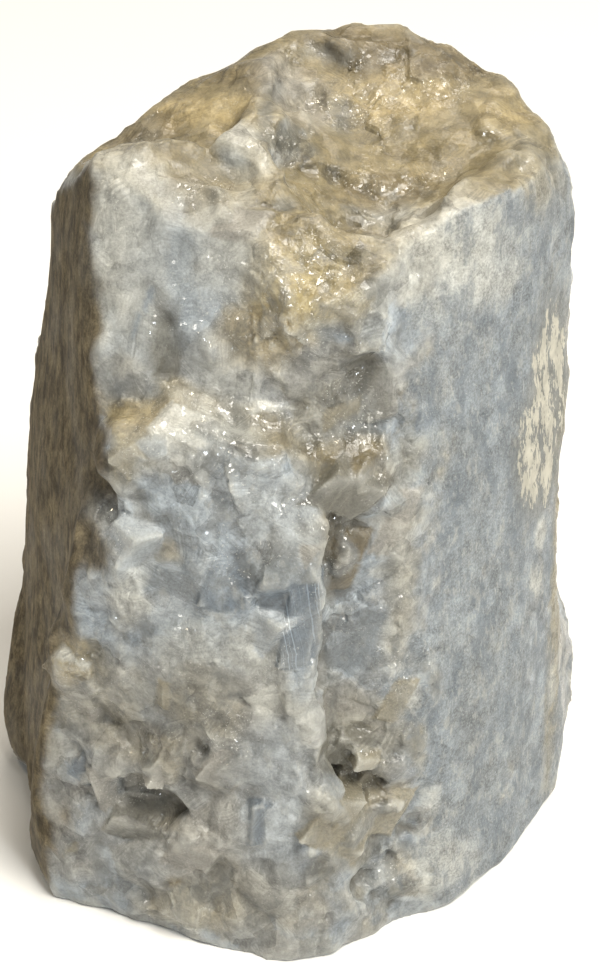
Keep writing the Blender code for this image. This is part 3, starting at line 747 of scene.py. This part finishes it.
def relief_tree():
    """Breaks fractured faces into grains along each crystal's cleavage, and frosts the joint faces."""
    tree = bpy.data.node_groups.new("cleavage relief", "GeometryNodeTree")
    relief_inputs(tree)
    given = add(tree, "NodeGroupInput").outputs
    position = add(tree, "GeometryNodeInputPosition").outputs[0]
    normal = add(tree, "GeometryNodeInputNormal").outputs[0]
    facing = arrow(tree, "NORMALIZE", blurred(tree, normal, "FLOAT_VECTOR", FACING_ROUNDS))
    outward = arrow(tree, "NORMALIZE", blurred(tree, normal, "FLOAT_VECTOR", NEAR_ROUNDS))
    shift = scaled(tree, add(tree, "ShaderNodeCombineXYZ", {0: given["Seed"]}).outputs[0], SEED_STRIDE)
    place = warped(tree, arrow(tree, "ADD", position, shift))
    broken = how_broken(tree, position, facing)

    crystal = voronoi(tree, place, given["Crystal Size"])
    chances = parts(tree, crystal.outputs["Color"])
    shatter = ramp(tree, chances["X"], 0.25, 0.6, 0.2, 1.0)
    plane = chosen_plane(tree, facing, scaled(tree, crystal.outputs["Color"], 2 * pi))
    swell = product(tree, calc(tree, "SUBTRACT", chances["Y"], 0.5), given["Crystal Rise"])
    grain = voronoi(tree, place, given["Grain Size"])
    reach = arrow(tree, "SUBTRACT", grain.outputs["Position"], place)
    slant, lift = grain_height(tree, given, facing, plane, grain, reach, shatter)
    chips = chip_height(tree, given, place, shatter)
    steps = step_height(tree, given, place, plane, chances["Z"])
    breaks = total(tree, total(tree, slant, total(tree, lift, swell)), total(tree, chips, steps))
    height = mix(tree, "FLOAT", broken, frost_height(tree, given, place), breaks)
    topward = ramp(tree, parts(tree, facing)["Z"], 0.4, 0.75)
    calm = calc(tree, "MAXIMUM", own(tree, "calm"), product(tree, topward, TOP_CALM))
    height = product(tree, height, opposite(tree, calm))

    lump = voronoi(tree, place, given["Lump Size"])
    dome = calc(tree, "SUBTRACT", 0.25, calc(tree, "POWER", lump.outputs["Distance"], 2.0))
    dome = product(tree, dome, given["Lump Depth"], own(tree, "lumpy"))
    height = total(tree, height, product(tree, dome, broken))
    above_floor = ramp(tree, parts(tree, position)["Z"], *FOOT_FADE)
    offset = scaled(tree, outward, product(tree, height, above_floor))

    geometry = store(tree, given["Geometry"], {
        "rest": place,
        "broken": broken,
        "leftward": ramp(tree, dot(tree, facing, LEFT_JOINT), 0.2, 0.8),
        "unbroken": opposite(tree, blurred(tree, broken, "FLOAT", BORDER_ROUNDS)),
        "topward": topward,
        "shattered": ramp(tree, chances["X"], 0.3, 0.6),
        "lump": lump.outputs["Color"],
        "grain": arrow(tree, "ADD", position, reach),
    })
    moved = add(tree, "GeometryNodeSetPosition", {"Geometry": geometry, "Offset": offset}).outputs["Geometry"]
    worn = blurred(tree, position, "FLOAT_VECTOR", 1)
    moved = add(tree, "GeometryNodeSetPosition", {"Geometry": moved, "Position": worn}).outputs["Geometry"]
    hollow = arrow(tree, "SUBTRACT", blurred(tree, position, "FLOAT_VECTOR", HOLLOW_ROUNDS), position)
    ridge = arrow(tree, "SUBTRACT", blurred(tree, position, "FLOAT_VECTOR", NEAR_ROUNDS), position)
    moved = store(tree, moved, {
        "hollow": calc(tree, "DIVIDE", dot(tree, hollow, outward), MM),
        "ridge": calc(tree, "DIVIDE", dot(tree, ridge, outward), -MM),
    })
    whole = add(tree, "GeometryNodeRealizeInstances", {"Geometry": moved}).outputs["Geometry"]
    dressed = add(tree, "GeometryNodeSetMaterial", {"Geometry": whole, "Material": given["Material"]})
    tree.links.new(dressed.outputs["Geometry"], add(tree, "NodeGroupOutput").inputs["Geometry"])
    return tree


def settle(thing):
    """Gives the object the mesh that its modifiers make, and takes them off."""
    graph = bpy.context.evaluated_depsgraph_get()
    made = bpy.data.meshes.new_from_object(thing.evaluated_get(graph))
    thing.modifiers.clear()
    thing.data = made


def break_surface(stone, sizes, material):
    step = stone.modifiers.new("relief", "NODES")
    step.node_group = relief_tree()
    values = {name: getattr(sizes, field) for name, field in RELIEF_SIZES.items()}
    values.update({"Seed": sizes.seed, "Material": material})
    for item in step.node_group.interface.items_tree:
        if item.in_out == "INPUT" and item.name in values:
            step[item.identifier] = values[item.name]
    settle(stone)


def remesh(stone, size):
    step = stone.modifiers.new("remesh", "REMESH")
    step.mode = "VOXEL"
    step.voxel_size = size
    settle(stone)


def thin(stone, triangles):
    stone.data.calc_loop_triangles()
    step = stone.modifiers.new("thin", "DECIMATE")
    step.ratio = min(1.0, triangles / len(stone.data.loop_triangles))
    settle(stone)


def view_frame():
    """The view's place, and its directions to the right, up and away."""
    away = Vector((0, cos(VIEW_ELEVATION), -sin(VIEW_ELEVATION)))
    up = Vector((0, sin(VIEW_ELEVATION), cos(VIEW_ELEVATION)))
    return VIEW_TARGET - away * VIEW_DISTANCE, Vector((1, 0, 0)), up, away


def seen_at(tree, pixel):
    """The place on the stone, and its facing, that is seen at a pixel of the picture."""
    eye, right, up, away = view_frame()
    x = (pixel[0] - PICTURE_WIDTH / 2) * PIXEL / VIEW_DISTANCE
    y = (PICTURE_HEIGHT / 2 - pixel[1]) * PIXEL / VIEW_DISTANCE
    place, facing, _, _ = tree.ray_cast(eye, (away + right * x + up * y).normalized())
    if place is None:
        raise RuntimeError(f"the stone isn't seen at pixel {pixel}")
    return place, facing


def smooth(values, low, high):
    """0 below low and 1 above high, with a smooth change between them."""
    share = np.clip((values - low) / (high - low), 0, 1)
    return share * share * (3 - 2 * share)


def reach_of(points, place, across, upward):
    """How far each point is from a place, where 1 is the edge of its reach."""
    _, right, up, away = view_frame()
    offset = points - np.array(place)
    depth = DEPTH_SHARE * max(across, upward) + DEPTH_MORE
    ways = ((right, across), (up, upward), (away, depth))
    return np.sqrt(sum((offset @ np.array(way) / size) ** 2 for way, size in ways)) / MM


def near(points, tree, pixel, reach, edge, fade, ragged=0.0):
    """1 around the place at a pixel, fading to 0 where the distance comes to the edge."""
    place, _ = seen_at(tree, pixel)
    return smooth(edge - reach_of(points, place, *reach) - ragged, 0, fade)


def nudge(builder, tree):
    """Pushes a few places, the front's long edge among them, to where the picture shows them."""
    points = np.array([corner.co for corner in builder.verts])
    _, right, _, away = view_frame()
    for pixel, reach, (sideways, nearer) in NUDGES.values():
        share = near(points, tree, pixel, reach, 1.5, 1.2)
        points += np.outer(share, np.array(right * sideways - away * nearer) * MM)
    for corner, point in zip(builder.verts, points):
        corner.co = point


def turning(turn):
    """The turn in degrees, as a matrix."""
    return Euler([radians(angle) for angle in turn]).to_matrix()


def rhomb(builder, place, edges, turn):
    """Adds a cleavage rhomb: a cube whose edges lean as calcite's do."""
    shape = turning(turn) @ (cleavage_edges() @ Matrix.Diagonal(Vector(edges) * MM))
    made = bmesh.ops.create_cube(builder, size=1.0)
    whole = Matrix.Translation(place) @ shape.to_4x4()
    bmesh.ops.transform(builder, matrix=whole, verts=made["verts"])
    return whole


def fine_crystals(builder, tree):
    """Sets the single crystals into the stone, and says where each one is and its colour."""
    made = {}
    for name, (pixel, edges, turn, proud, colour) in FINE_CRYSTALS.items():
        place, facing = seen_at(tree, pixel)
        shape = turning(turn) @ cleavage_edges()
        reach = sum(abs(shape.col[i].dot(facing)) * edges[i] for i in range(3)) / 2 * MM
        made[name] = (rhomb(builder, place + facing * (proud * MM - reach), edges, turn), colour)
    return made


def inside(points, matrix):
    """Near 1 for the points in a rhomb or on its faces, and 0 away from it."""
    back = np.array(matrix.inverted())
    local = points @ back[:3, :3].T + back[:3, 3]
    sizes = np.array([matrix.col[i].to_3d().length for i in range(3)])
    outside = ((np.abs(local) - 0.5) * sizes).max(axis=1)
    return 1 - smooth(outside, *CRYSTAL_SKIN)


def mark_breaks(stone, tree, crystals):
    """Marks where the breaks are calm, as on the single crystals, and where they are lumpy."""
    points, _ = points_of(stone.data)
    single = reduce(np.maximum, (inside(points, matrix) for matrix, _ in crystals.values()))
    marks = {"calm": single.copy(), "lumpy": np.full(len(points), LUMPY_EVERYWHERE)}
    for name, places in (("calm", SMOOTH_PLACES), ("lumpy", LUMPY_PLACES)):
        for pixel, reach, strength in places.values():
            marks[name] = np.maximum(marks[name], strength * near(points, tree, pixel, reach, 1.3, 0.6))
    give_attribute(stone.data, "lumpy", marks["lumpy"] * (1 - single))
    give_attribute(stone.data, "calm", marks["calm"])


def fields(points, wavelength, seed):
    """Soft noise at each point, from about -1 to 1."""
    shift = Vector((seed * 3.7, seed * 1.3, seed * 2.9))
    return np.array([noise.noise(Vector(point) / wavelength + shift) for point in points])


def attribute_values(mesh, name, width=1):
    """An attribute's numbers, or its vectors if the width is 3."""
    values = np.empty(len(mesh.vertices) * width, np.float32)
    mesh.attributes[name].data.foreach_get("value" if width == 1 else "vector", values)
    return values.reshape(-1, width) if width > 1 else values


def give_attribute(mesh, name, values):
    """Keeps a number or a colour for each point."""
    if values.ndim == 2:
        layer = mesh.attributes.new(name, "FLOAT_COLOR", "POINT")
        whole = np.concatenate([values, np.ones((len(values), 1))], axis=1)
        layer.data.foreach_set("color", whole.astype(np.float32).ravel())
        return
    layer = mesh.attributes.new(name, "FLOAT", "POINT")
    layer.data.foreach_set("value", values.astype(np.float32))


def points_of(mesh):
    """The mesh's points and their normals."""
    made = []
    for name in ("co", "normal"):
        values = np.empty(len(mesh.vertices) * 3, np.float32)
        mesh.vertices.foreach_get(name, values)
        made.append(values.reshape(-1, 3).astype(float))
    return made


def blend(under, over, share):
    return under + (over - under) * share[:, None]


def grown_tints(mesh, tint, broken, wide, middling, small):
    """The stone's own colours: blue with grey, tan and frosted parts, and tinted lumps."""
    colour = np.repeat(tint["blue"][None], len(broken), axis=0)
    colour = blend(colour, tint["grey"], 0.8 * smooth(wide + 0.4 * small, -0.1, 0.5))
    colour = blend(colour, tint["tan"], 0.6 * smooth(-wide + 0.5 * middling, 0.15, 0.6))
    colour = blend(colour, tint["frost"], 0.5 * smooth(small + 0.5 * wide, 0.2, 0.7))
    lump = attribute_values(mesh, "lump", 3)
    for index, name in enumerate(("tan", "pale blue", "grey")):
        colour = blend(colour, tint[name], 0.4 * broken * smooth(lump[:, index], 0.6, 0.85))
    return colour


def paint(stone, tree, crystals, colours):
    """Stains the stone: soft fields of colour everywhere, then the places that stand out, with painted shade
    on the left face, in pits, pockets and gaps and low down, and painted highlight on a few raised places.
    """
    mesh = stone.data
    surface, normals = points_of(mesh)
    points = (1 - GRAIN_SHARE) * surface + GRAIN_SHARE * attribute_values(mesh, "grain", 3)
    tint = {
        field.replace("_", " "): np.array(getattr(colours, field)) for field in StoneColours.__annotations__
    }
    broken = attribute_values(mesh, "broken")
    wide, middling, small = [fields(points, size, seed) for seed, size in enumerate(FIELD_SIZES, 1)]
    colour = grown_tints(mesh, tint, broken, wide, middling, small)

    top = attribute_values(mesh, "topward") * smooth(normals[:, 2] + 0.2 * middling, -0.3, 0.6)
    colour = blend(colour, tint["honey"], 0.92 * top)
    colour = blend(colour, tint["tan"], 0.5 * smooth(normals[:, 1] + 0.3 * wide, 0.2, 0.8))
    # The left joint face and the faces behind it turn weathered brown: partly real weathering, partly painted
    # shade on the side away from the lamps
    left = attribute_values(mesh, "leftward")
    left = left * smooth(attribute_values(mesh, "unbroken") + 0.2 * small, 0.1, 0.85)
    left = left * (0.8 + 0.2 * smooth(wide + 0.6 * middling, -0.4, 0.3))
    behind = smooth(-0.6 * normals[:, 0] + 0.7 * normals[:, 1], 0.1, 0.8)
    left = np.maximum(left, 0.65 * behind * smooth(wide + 0.5 * middling, -0.5, 0.7))
    right = smooth(normals @ np.array(RIGHT_JOINT) + 0.35 * middling, 0.25, 0.75) * (1 - broken)
    colour = blend(colour, tint["joint"], 0.85 * right)
    veils = fields(points * (1.0, 1.0, 0.35), LARGE_VEIL, 4)
    veils = veils + 0.6 * fields(points * (1.0, 1.0, 0.5), SMALL_VEIL, 5)
    colour *= (1 + 0.24 * veils * right)[:, None]
    colour = blend(colour, tint["weathered"], 0.85 * left)

    ragged = 0.6 * middling + 0.5 * small
    for pixel, reach, name, strength in PLACES.values():
        share = strength * near(points, tree, pixel, reach, 1.4, 0.9, -0.45 * ragged)
        colour = blend(colour, tint[name], share)
    for matrix, name in crystals.values():
        colour = blend(colour, tint[name], 0.85 * inside(surface, matrix))
    # Painted shade: the lower breaks a little darker, where less light falls from above
    low = smooth(LOW_TOP - surface[:, 2], 0, LOW_FADE) * smooth(normals[:, 2] + 1.0, 0.0, 0.5)
    colour *= (1 - 0.1 * low * broken)[:, None]
    lump_tone = attribute_values(mesh, "lump", 3)[:, 0] - 0.5
    colour *= (1 + 0.22 * attribute_values(mesh, "lumpy") * broken * lump_tone)[:, None]

    crust = [near(points, tree, pixel, reach, 1.4, 0.8) for pixel, reach in CRUST.values()]
    glitter = [near(points, tree, pixel, reach, 1.4, 0.8, 0.4 * small) for pixel, reach in GLINTS.values()]
    marks = {
        "tint": colour,
        "striae": inside(surface, crystals["striated"][0]),
        "crust": np.max(crust, axis=0),
        "glitter": np.max(glitter, axis=0),
        "weathering": left,
        "stained": top,
        "lively": smooth(middling, -0.3, 0.4),
    }
    for name, values in marks.items():
        give_attribute(mesh, name, values)


def read(tree, name, output="Fac"):
    """One of the stone's own attributes, read by the finish."""
    return add(tree, "ShaderNodeAttribute", attribute_name=name).outputs[output]


def shaded(colour, share):
    """A palette colour made darker or paler."""
    return tuple(min(1.0, share * part) for part in colour)


def shared_patterns(tree, sizes):
    """What several layers of the finish use: marks on the stone, its grains and chips, and soft noise."""
    on = SimpleNamespace(place=read(tree, "rest", "Vector"))
    for name in ("broken", "hollow", "ridge", "crust", "weathering"):
        setattr(on, name, read(tree, name))
    rightward = opposite(tree, read(tree, "leftward"))
    on.joint = product(tree, opposite(tree, on.broken), rightward)
    on.fog = opposite(tree, product(tree, read(tree, "calm"), 0.55))
    on.plain = opposite(tree, product(tree, read(tree, "stained"), 0.65))
    on.grain = voronoi(tree, on.place, sizes.grain).outputs["Color"]
    on.chip = voronoi(tree, on.place, sizes.chip).outputs["Color"]
    on.veils = mottle(tree, on.place, VEIL, 5.0, 0.6, 0.2)
    on.grit = mottle(tree, on.place, GRIT, 2.0, 0.7)
    on.tall = stretched(tree, on.place, 0.55)
    on.cloud = mottle(tree, on.tall, CLOUD, 4.0, 0.68)
    return on


def cleavage_lines(tree, on):
    """Fine lines along some of the grains, and the strong ones of the striated crystal."""
    lie = arrow(tree, "NORMALIZE", centred(tree, on.grain))
    lines = ramp(tree, lines_across(tree, on.place, lie, LINE), 0.35, 0.65, -0.2, 0.2)
    lined = product(tree, ramp(tree, parts(tree, on.grain)["Y"], 0.5, 0.7), ramp(tree, on.veils, 0.4, 0.6))
    striae = ramp(tree, lines_across(tree, on.place, STRIAE_ACROSS, STRIAE), 0.57, 0.68)
    return total(tree, product(tree, lines, lined, on.broken), product(tree, striae, read(tree, "striae")))


def grown_colour(tree, on):
    """The painted colour, uneven with soft veils, from grain to grain, and in fine specks."""
    cell = spread(tree, parts(tree, on.grain)["X"], -0.22, 0.22)
    cell = total(tree, cell, spread(tree, parts(tree, on.chip)["Y"], -0.08, 0.08))
    cell = product(tree, cell, read(tree, "shattered"))
    tone = total(tree, ramp(tree, on.veils, 0.3, 0.7, -0.34, 0.34), cell)
    tone = product(tree, tone, on.fog, spread(tree, on.broken, 0.65, 0.9))
    speck = product(tree, ramp(tree, on.grit, 0.25, 0.75, -0.2, 0.2), spread(tree, on.broken, 1.5, 0.8))
    tone = total(tree, tone, speck, cleavage_lines(tree, on), 1.0)
    return scaled(tree, read(tree, "tint", "Color"), tone)


def clouded(tree, on, colour, colours):
    """Clear and dark clouds, and milky patches between them."""
    clear = ramp(tree, on.cloud, 0.54, 0.36)
    clear = product(tree, clear, spread(tree, on.joint, 0.5, 0.55), on.plain, on.fog)
    depth = mix_colour(tree, total(tree, on.joint, 0.4), colours.smoke, shaded(colours.deep_blue, 0.92))
    colour = mix_colour(tree, clear, colour, depth)
    patch = mottle(tree, arrow(tree, "ADD", on.tall, PATCH_SHIFT), PATCH, 4.0, 0.7)
    pale = product(tree, ramp(tree, patch, 0.53, 0.68), spread(tree, on.joint, 0.4, 0.45), on.plain, on.fog)
    return mix_colour(tree, pale, colour, shaded(colours.frost, 0.8))


def bruises_and_painted_light(tree, on, colour, colours):
    """Pale bruises on ridges, paler bumps that are partly wear and partly painted highlight, and painted
    shade, brownish, in the hollows.
    """
    bruise = ramp(tree, on.ridge, 0.04, 0.3)
    bruise = product(tree, bruise, ramp(tree, on.veils, 0.4, 0.65, 0.0, 0.6), on.plain)
    colour = mix_colour(tree, bruise, colour, colours.frost)
    # Raised forms made paler: partly wear, partly painted highlight
    worn = product(tree, ramp(tree, on.hollow, -0.3, -1.6), on.broken, 0.3, on.plain)
    colour = mix_colour(tree, worn, colour, colours.frost)
    # Painted shade: the hollows darkened towards a dim tan
    shade = product(tree, ramp(tree, on.hollow, 0.3, 2.0), on.plain, 0.7)
    return mix_colour(tree, shade, colour, shaded(colours.tan, 0.5))


def glints(tree, on):
    """Where small cleavage faces flash: thinly over the breaks, and thickly where they glitter."""
    chance = parts(tree, on.chip)["Z"]
    thin_spread = product(tree, read(tree, "lively"), ramp(tree, chance, 0.35, 0.75))
    thin_spread = product(tree, thin_spread, spread(tree, on.broken, 0.2, 0.6))
    clustered = product(tree, read(tree, "glitter"), ramp(tree, chance, 0.15, 0.5))
    glinting = calc(tree, "MAXIMUM", thin_spread, clustered)
    return product(tree, glinting, ramp(tree, on.weathering, 0.0, 0.5, 1.0, 0.0))


def painted_glint_flecks(tree, on, glinting, colour, colours):
    """Painted glints: white flecks in the colour where the stone glints, and a few on the right joint face.
    """
    # Painted glints: small white specks where the faces flash
    glint_specks = ramp(tree, mottle(tree, on.place, GLINT_SPECK, 1.0, 0.5), 0.62, 0.74, 0.0, 0.6)
    fleck = product(tree, glint_specks, total(tree, glinting, product(tree, on.joint, 0.3)))
    return mix_colour(tree, fleck, colour, shaded(colours.frost, 1.45))


def weathered(tree, on, colour, colours):
    """The brown skin of the left joint face, streaked as by rain: partly real weathering, partly painted
    shade that darkens the face lying in shade.
    """
    rain = mottle(tree, stretched(tree, on.place, 0.32), RAIN, 3.0, 0.7)
    rain = total(tree, product(tree, rain, 0.5), product(tree, on.veils, 0.5))
    dark, lit = shaded(colours.weathered, 0.65), shaded(colours.brown, 1.25)
    skin = mix_colour(tree, ramp(tree, rain, 0.36, 0.64), dark, lit)
    skin = scaled(tree, skin, ramp(tree, on.grit, 0.25, 0.75, 0.7, 1.3))
    skin = scaled(tree, skin, ramp(tree, on.cloud, 0.35, 0.65, 0.78, 1.22))
    return mix_colour(tree, spread(tree, on.weathering, 0.0, 0.94), colour, skin)


def crusted(tree, on, colour, colours):
    """Pale dashes on the right joint face, and the chalky crust that flakes off it."""
    dashes = mottle(tree, stretched(tree, on.place, 0.3), DASH, 3.0, 0.7)
    dash = product(tree, ramp(tree, dashes, 0.56, 0.66), on.joint, 0.32)
    colour = mix_colour(tree, dash, colour, colours.frost)
    flake = mottle(tree, stretched(tree, on.place, 0.36), FLAKE, 4.0, 0.62)
    flake = calc(tree, "SUBTRACT", flake, ramp(tree, dashes, 0.42, 0.6, 0.0, 0.12))
    chalk = total(tree, product(tree, on.crust, 0.4), flake)
    chalked = product(tree, ramp(tree, chalk, 0.79, 0.84), ramp(tree, on.crust, 0.0, 0.2))
    colour = mix_colour(tree, product(tree, on.crust, 0.55), colour, colours.smoke)
    chalky = scaled(tree, colours.crust, ramp(tree, on.veils, 0.35, 0.65, 0.8, 1.08))
    return mix_colour(tree, chalked, colour, chalky)


def give_gloss(tree, on, glinting, shader):
    """Smooth and rough grains, light that sinks in, and tilted clear faces that flash."""
    for name, value in STONE_GLOSS.items():
        shader.inputs[name].default_value = value
    rough = spread(tree, parts(tree, on.grain)["Z"], 0.22, 0.5)
    rough = calc(tree, "MAXIMUM", rough, spread(tree, on.broken, 0.6, 0.0))
    rough = calc(tree, "MAXIMUM", rough, product(tree, on.weathering, 0.95))
    bump = add(tree, "ShaderNodeBump", {**GRIT_BUMP, "Height": on.grit})
    sparks = voronoi(tree, on.place, SPARK).outputs["Color"]
    bare = ramp(tree, parts(tree, sparks)["Z"], 0.4, 0.45, 0.15, 0.7)
    lean = scaled(tree, centred(tree, sparks), 0.95)
    lean = arrow(tree, "ADD", lean, scaled(tree, centred(tree, on.chip), 0.35))
    normal = add(tree, "ShaderNodeNewGeometry").outputs["Normal"]
    links = {
        "Roughness": rough,
        "Normal": bump.outputs["Normal"],
        "Coat Weight": calc(tree, "MULTIPLY", glinting, bare, clamp=True),
        "Coat Normal": arrow(tree, "NORMALIZE", arrow(tree, "ADD", normal, lean)),
    }
    for name, value in links.items():
        tree.links.new(value, shader.inputs[name])


def calcite_finish(sizes, colours):
    made = bpy.data.materials.new("blue calcite")
    made.use_nodes = True
    tree = made.node_tree
    shader = tree.nodes["Principled BSDF"]
    on = shared_patterns(tree, sizes)
    glinting = glints(tree, on)
    colour = grown_colour(tree, on)
    colour = clouded(tree, on, colour, colours)
    # Bruises, painted highlight on raised forms and painted shade in the hollows
    colour = bruises_and_painted_light(tree, on, colour, colours)
    # Painted glints as white flecks in the colour
    colour = painted_glint_flecks(tree, on, glinting, colour, colours)
    # The left face's brown skin: partly weathering, partly painted shade
    colour = weathered(tree, on, colour, colours)
    colour = crusted(tree, on, colour, colours)
    tree.links.new(colour, shader.inputs["Base Color"])
    give_gloss(tree, on, glinting, shader)
    return made


def floor_finish(colours):
    """A plain pale floor without a shine."""
    made = bpy.data.materials.new("pale floor")
    made.use_nodes = True
    shader = made.node_tree.nodes["Principled BSDF"]
    shader.inputs["Base Color"].default_value = (*colours.floor, 1.0)
    shader.inputs["Roughness"].default_value = 0.9
    return made


class CALCITE_OT_stone(bpy.types.Operator):
    """Carves and finishes the block of calcite"""

    bl_idname = "calcite.stone"
    bl_label = "Rough Calcite"

    def execute(self, context):
        sizes = context.scene.calcite_sizes
        colours = context.scene.calcite_colours
        builder = bmesh.new()
        builder.from_mesh(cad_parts[NODE].data)
        bmesh.ops.remove_doubles(builder, verts=list(builder.verts), dist=MERGE)
        nudge(builder, BVHTree.FromBMesh(builder))
        tree = BVHTree.FromBMesh(builder)
        crystals = fine_crystals(builder, tree)
        mesh = bpy.data.meshes.new("rough calcite")
        builder.to_mesh(mesh)
        builder.free()
        stone = bpy.data.objects.new("rough_calcite", mesh)
        context.scene.collection.objects.link(stone)
        material = calcite_finish(sizes, colours)
        remesh(stone, sizes.voxel)
        mark_breaks(stone, tree, crystals)
        break_surface(stone, sizes, material)
        thin(stone, sizes.triangles)
        paint(stone, tree, crystals, colours)
        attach(stone, BODY)
        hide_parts(NODE)
        return {"FINISHED"}


def lamp(name, place, size, power, colour):
    """A soft square lamp that faces the stone's middle."""
    light = bpy.data.lights.new(name, "AREA")
    light.size = size
    light.energy = power
    light.color = colour
    made = bpy.data.objects.new(name, light)
    made.location = place
    made.rotation_euler = (LAMP_TARGET - Vector(place)).to_track_quat("-Z", "Y").to_euler()
    bpy.context.scene.collection.objects.link(made)


class CALCITE_OT_stage(bpy.types.Operator):
    """Lays the pale floor, hangs the lamps and places the camera"""

    bl_idname = "calcite.stage"
    bl_label = "Stage"

    def execute(self, context):
        scene = context.scene
        colours = scene.calcite_colours
        builder = bmesh.new()
        bmesh.ops.create_circle(builder, cap_ends=True, segments=96, radius=FLOOR_RADIUS)
        mesh = bpy.data.meshes.new("floor")
        builder.to_mesh(mesh)
        builder.free()
        floor = bpy.data.objects.new("floor", mesh)
        floor.data.materials.append(floor_finish(colours))
        scene.collection.objects.link(floor)
        world = bpy.data.worlds.new("studio")
        world.use_nodes = True
        sky = world.node_tree.nodes["Background"].inputs
        sky["Color"].default_value = SKY
        sky["Strength"].default_value = SKY_STRENGTH
        scene.world = world
        for name, settings in LAMPS.items():
            lamp(name, *settings)
        camera = bpy.data.cameras.new("camera")
        camera.sensor_fit = "VERTICAL"
        camera.sensor_height = SENSOR
        camera.lens = SENSOR * VIEW_DISTANCE / (PICTURE_HEIGHT * PIXEL)
        camera.clip_start = CLIP_START
        eye, _, _, away = view_frame()
        made = bpy.data.objects.new("camera", camera)
        made.location = eye
        made.rotation_euler = away.to_track_quat("-Z", "Y").to_euler()
        scene.collection.objects.link(made)
        scene.camera = made
        scene.view_settings.view_transform = "Standard"
        return {"FINISHED"}


class CALCITE_PT_panel(bpy.types.Panel):
    """The stone's sizes, colours and steps"""

    bl_idname = "CALCITE_PT_panel"
    bl_label = "Rough Blue Calcite"
    bl_space_type = "VIEW_3D"
    bl_region_type = "UI"
    bl_category = "Calcite"

    def draw(self, context):
        layout = self.layout
        for group in (context.scene.calcite_sizes, context.scene.calcite_colours):
            box = layout.box()
            for name in group.__annotations__:
                box.prop(group, name)
        layout.operator(CALCITE_OT_stone.bl_idname)
        layout.operator(CALCITE_OT_stage.bl_idname)


CLASSES = (StoneSizes, StoneColours, CALCITE_OT_stone, CALCITE_OT_stage, CALCITE_PT_panel)


def register():
    for kind in CLASSES:
        bpy.utils.register_class(kind)
    bpy.types.Scene.calcite_sizes = PointerProperty(type=StoneSizes)
    bpy.types.Scene.calcite_colours = PointerProperty(type=StoneColours)


def unregister():
    del bpy.types.Scene.calcite_colours
    del bpy.types.Scene.calcite_sizes
    for kind in reversed(CLASSES):
        bpy.utils.unregister_class(kind)


def main():
    """Makes the stone and its stage."""
    register()
    bpy.ops.calcite.stone()
    bpy.ops.calcite.stage()


if __name__ == "__main__":
    main()
